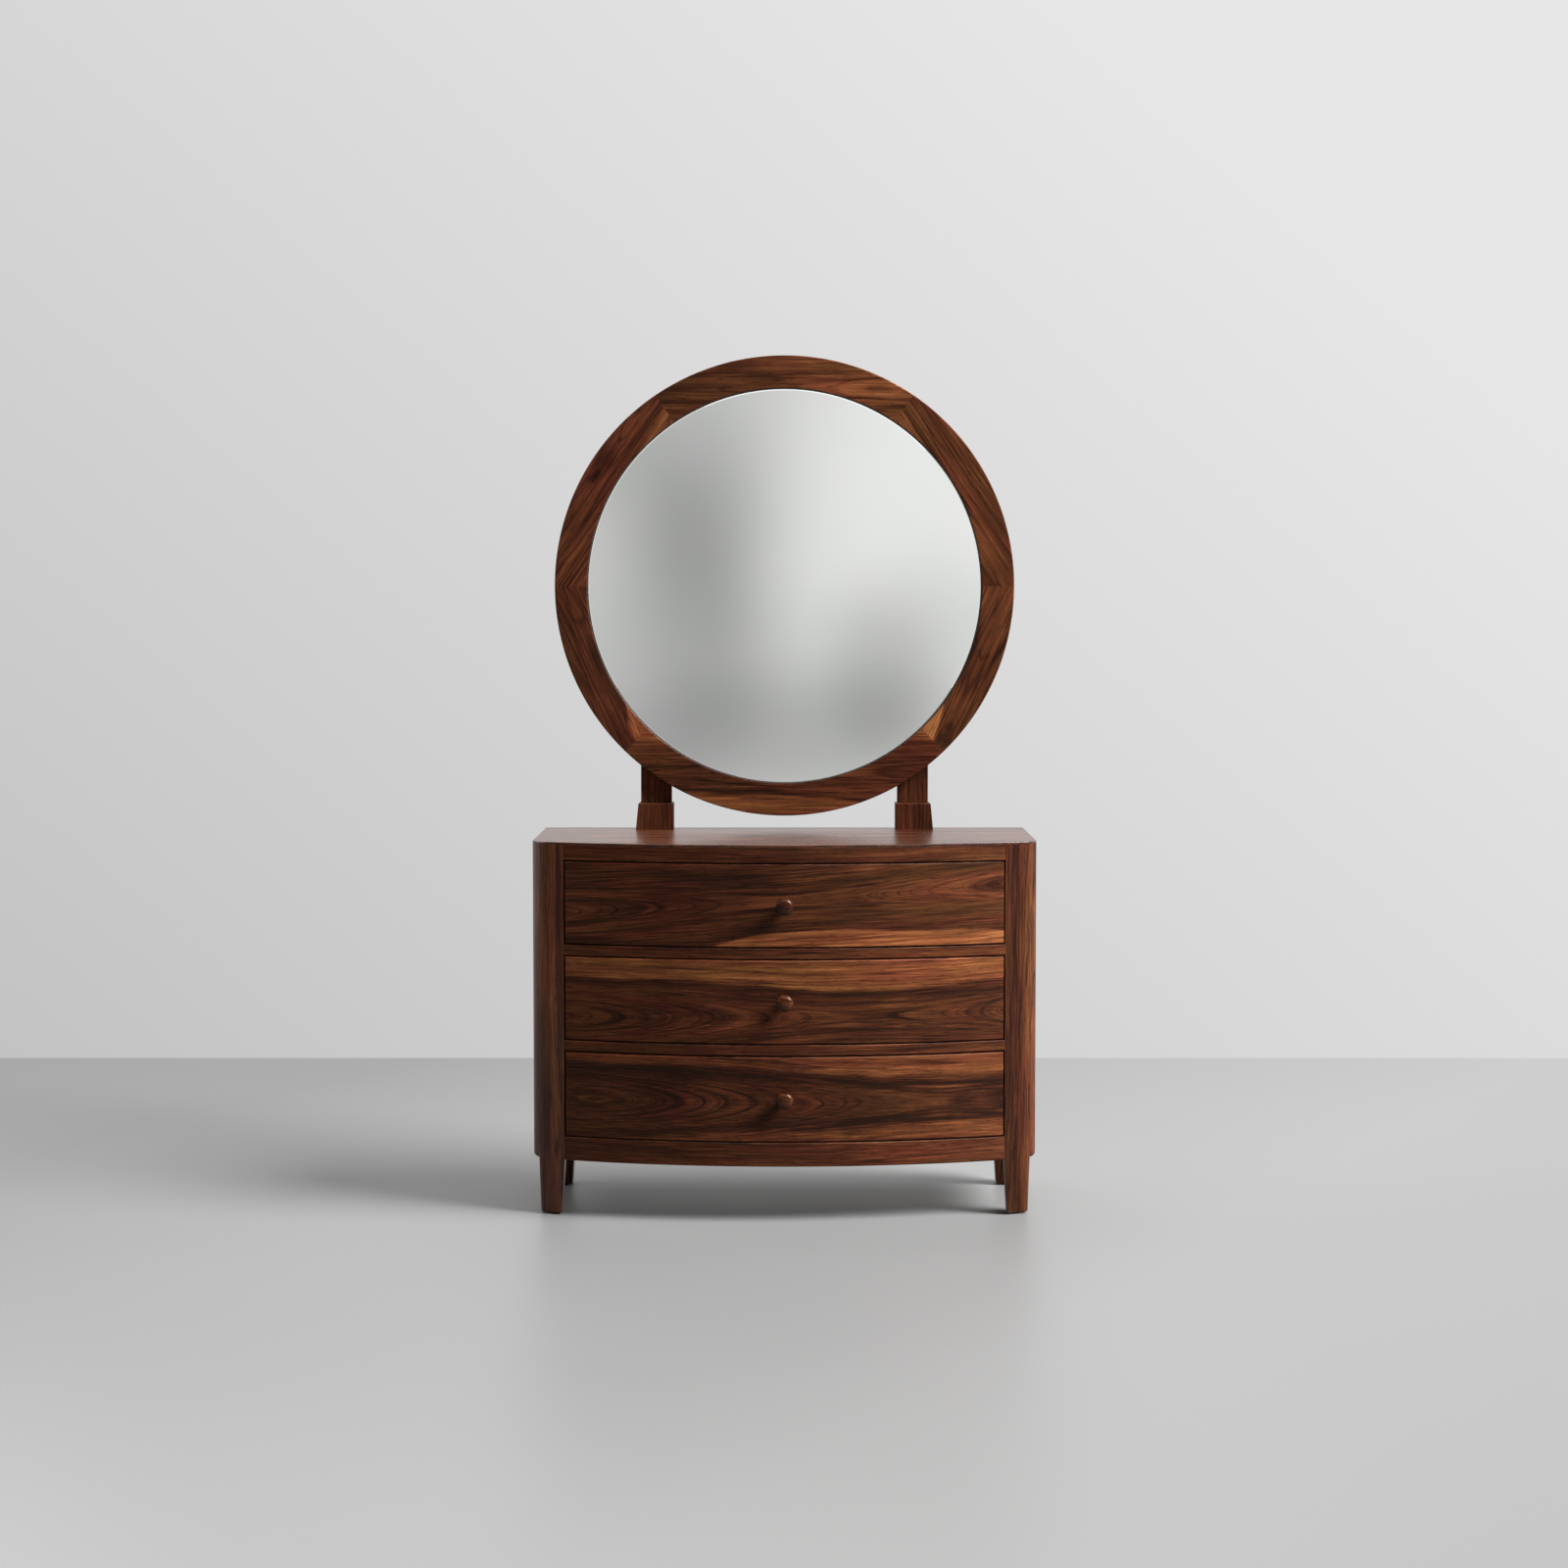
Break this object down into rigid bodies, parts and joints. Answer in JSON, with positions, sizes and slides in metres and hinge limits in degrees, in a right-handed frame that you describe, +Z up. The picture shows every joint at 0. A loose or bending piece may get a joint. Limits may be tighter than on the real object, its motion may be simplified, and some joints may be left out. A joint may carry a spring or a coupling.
{
  "type": "dressing table with mirror",
  "caption": "Bow-front wooden dressing chest on tapered legs, with sliding drawers, turned knobs and a round framed mirror on posts behind the table top.",
  "frame": {"origin": "on the floor under the middle of the overall box", "axes": "+Z up, the drawers and the mirror face -Y, +X is to the right as seen from the front"},
  "size_m": [1.02, 0.517, 1.7535],
  "materials": {
    "rosewood": "satin lacquer, dark streaks",
    "secondary_wood": "plain, unlacquered",
    "plywood": "plain",
    "mirror": "silvered glass",
    "steel": "zinc plated",
    "nylon": "plain"
  },
  "bodies": {
    "case": {"top_panel": "rosewood", "front_post_left": "rosewood", "front_post_right": "rosewood", "rear_post_left": "rosewood", "rear_post_right": "rosewood", "side_panel_left": "rosewood", "side_panel_right": "rosewood", "top_rail": "rosewood", "drawer_rail_upper": "rosewood", "drawer_rail_lower": "rosewood", "bottom_rail": "rosewood", "apron": "rosewood", "back_rail_top": "rosewood", "back_rail_bottom": "rosewood", "back_panel": "plywood", "drawer_runners": "secondary_wood", "drawer_guides": "secondary_wood", "drawer_stops": "secondary_wood", "top_kickers": "secondary_wood", "top_screws": "steel", "foot_glides": "nylon", "mirror_frame_top": "rosewood", "mirror_frame_upper_left": "rosewood", "mirror_frame_lower_left": "rosewood", "mirror_frame_bottom": "rosewood", "mirror_frame_lower_right": "rosewood", "mirror_frame_upper_right": "rosewood", "mitre_splines": "secondary_wood", "mirror_glass": "mirror", "mirror_back_board": "plywood", "mirror_clips": "steel", "mirror_clip_screws": "steel", "mirror_frame_screws": "steel", "mirror_post_left": "rosewood", "mirror_post_right": "rosewood", "mirror_shoe_left": "rosewood", "mirror_shoe_right": "rosewood", "mirror_post_screws": "steel"},
    "bottom_drawer": {"bottom_drawer_front": "rosewood", "bottom_drawer_side_left": "secondary_wood", "bottom_drawer_side_right": "secondary_wood", "bottom_drawer_back": "secondary_wood", "bottom_drawer_bottom": "plywood", "bottom_drawer_knob": "rosewood", "bottom_drawer_knob_bolt": "steel"},
    "middle_drawer": {"middle_drawer_front": "rosewood", "middle_drawer_side_left": "secondary_wood", "middle_drawer_side_right": "secondary_wood", "middle_drawer_back": "secondary_wood", "middle_drawer_bottom": "plywood", "middle_drawer_knob": "rosewood", "middle_drawer_knob_bolt": "steel"},
    "top_drawer": {"top_drawer_front": "rosewood", "top_drawer_side_left": "secondary_wood", "top_drawer_side_right": "secondary_wood", "top_drawer_back": "secondary_wood", "top_drawer_bottom": "plywood", "top_drawer_knob": "rosewood", "top_drawer_knob_bolt": "steel"}
  },
  "joints": [
    {"name": "bottom_drawer_slide", "type": "slide", "parent": "case", "child": "bottom_drawer", "axis": [0, -1, 0], "range_m": [0, 0.28]},
    {"name": "middle_drawer_slide", "type": "slide", "parent": "case", "child": "middle_drawer", "axis": [0, -1, 0], "range_m": [0, 0.28]},
    {"name": "top_drawer_slide", "type": "slide", "parent": "case", "child": "top_drawer", "axis": [0, -1, 0], "range_m": [0, 0.28]}
  ]
}
